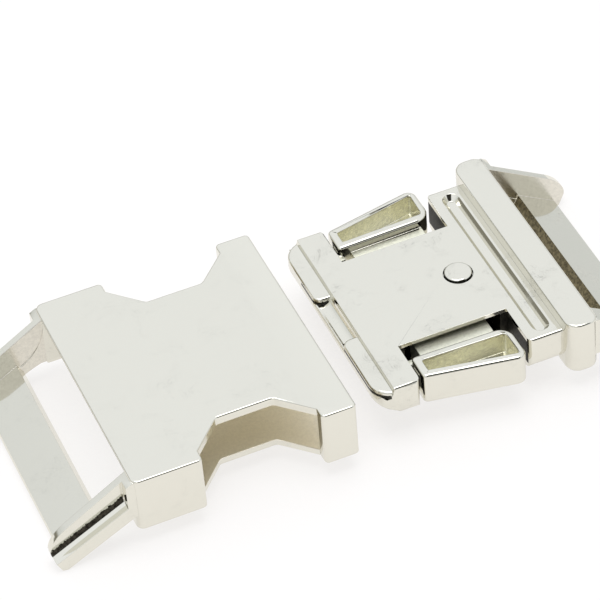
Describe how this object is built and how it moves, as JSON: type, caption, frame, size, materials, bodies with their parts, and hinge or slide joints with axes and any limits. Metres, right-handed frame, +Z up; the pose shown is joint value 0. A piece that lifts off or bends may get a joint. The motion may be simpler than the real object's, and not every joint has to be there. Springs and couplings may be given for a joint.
{
  "type": "side-release buckle",
  "caption": "Metal side-release buckle for 25 mm webbing, shown open: a hollow socket half and a plug half with sprung side levers, each with a sloping strap bar",
  "frame": {"origin": "centre of the footprint, on the surface that the two strap frames stand on", "axes": "+X runs along the webbing from the socket half to the plug half, +Y runs across the webbing, +Z is up"},
  "size_m": [0.0818, 0.034, 0.0106],
  "materials": {
    "bright_nickel": "bright nickel plate on a zinc die casting, with fine handling marks",
    "cover_nickel": "plated pressed plate, slightly satin",
    "rivet_nickel": "plated, with turning marks on the head",
    "lever_nickel": "bright nickel plate, duller inside the finger pocket",
    "pin_steel": "ground steel pin",
    "spring_steel": "drawn spring wire"
  },
  "bodies": {
    "socket": {"female_housing": "bright_nickel"},
    "plug": {"male_body": "bright_nickel", "bottom_cover": "cover_nickel", "centre_rivet": "rivet_nickel", "pivot_pin_left": "pin_steel", "pivot_pin_right": "pin_steel", "spring_left": "spring_steel", "spring_right": "spring_steel"},
    "lever_left": {"lever_left": "lever_nickel"},
    "lever_right": {"lever_right": "lever_nickel"}
  },
  "joints": [
    {"name": "insertion", "type": "slide", "parent": "socket", "child": "plug", "axis": [-1, 0, 0], "range_m": [0, 0.028]},
    {"name": "lever_left_press", "type": "hinge", "parent": "plug", "child": "lever_left", "pos_m": [0.00585, 0.0115, 0.00635], "axis": [0, 0, -1], "range_deg": [0, 9.25], "deforming": ["spring_left"]},
    {"name": "lever_right_press", "type": "hinge", "parent": "plug", "child": "lever_right", "pos_m": [0.00585, -0.0115, 0.00635], "axis": [0, 0, 1], "range_deg": [0, 9.25], "deforming": ["spring_right"]}
  ],
  "couplings": [
    {"joint": "lever_left_press", "follows": "insertion", "rad_per_m": 5.7347},
    {"joint": "lever_right_press", "follows": "insertion", "rad_per_m": 5.7347}
  ]
}
